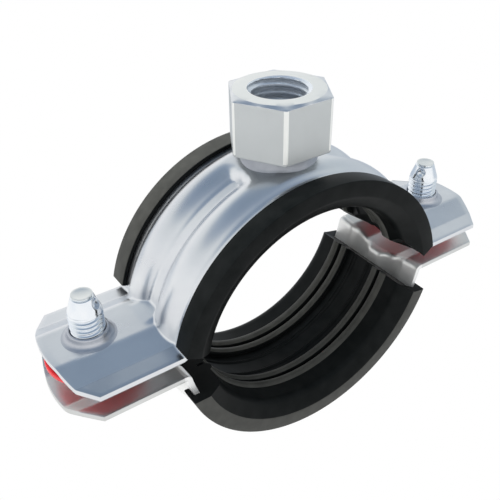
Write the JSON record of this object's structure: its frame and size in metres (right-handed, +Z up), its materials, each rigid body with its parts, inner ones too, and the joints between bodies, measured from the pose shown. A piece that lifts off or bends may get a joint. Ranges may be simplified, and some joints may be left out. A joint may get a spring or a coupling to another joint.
{
  "type": "rubber lined pipe clamp",
  "caption": "Two-part ribbed steel pipe clamp with rubber lining, side screws and a welded threaded connection nut on top for hanging a round pipe.",
  "frame": {"origin": "middle of the pipe seat, on the split plane between the two halves", "axes": "+Z up through the connection nut, +Y along the pipe, +X from one ear to the other"},
  "size_m": [0.1372, 0.0406, 0.0961],
  "materials": {
    "zinc_steel": "satin zinc plating",
    "nut_steel": "satin zinc plating",
    "screw_steel": "bright zinc plating",
    "rubber": "matt black rubber",
    "red_plastic": "smooth red plastic"
  },
  "bodies": {
    "upper_half": {"upper_band": "zinc_steel", "upper_lining": "rubber", "connection_nut": "nut_steel", "retaining_washer_left": "red_plastic", "retaining_washer_right": "red_plastic"},
    "lower_half": {"lower_band": "zinc_steel", "lower_lining": "rubber"},
    "screw_left_body": {"screw_left": "screw_steel"},
    "screw_right_body": {"screw_right": "screw_steel"}
  },
  "joints": [
    {"name": "lower_half_slide", "type": "slide", "parent": "upper_half", "child": "lower_half", "axis": [0, 0, -1], "range_m": [-0.004, 0.009]},
    {"name": "screw_left_turn", "type": "hinge", "parent": "lower_half", "child": "screw_left_body", "pos_m": [-0.0568, 0, 0], "axis": [0, 0, 1], "range_deg": [-2592.5, 1152.5]},
    {"name": "screw_right_turn", "type": "hinge", "parent": "lower_half", "child": "screw_right_body", "pos_m": [0.0568, 0, 0], "axis": [0, 0, 1], "range_deg": [-2592.5, 1152.5]}
  ],
  "couplings": [
    {"joint": "screw_left_turn", "follows": "lower_half_slide", "rad_per_m": -5026.5},
    {"joint": "screw_right_turn", "follows": "lower_half_slide", "rad_per_m": -5026.5}
  ]
}
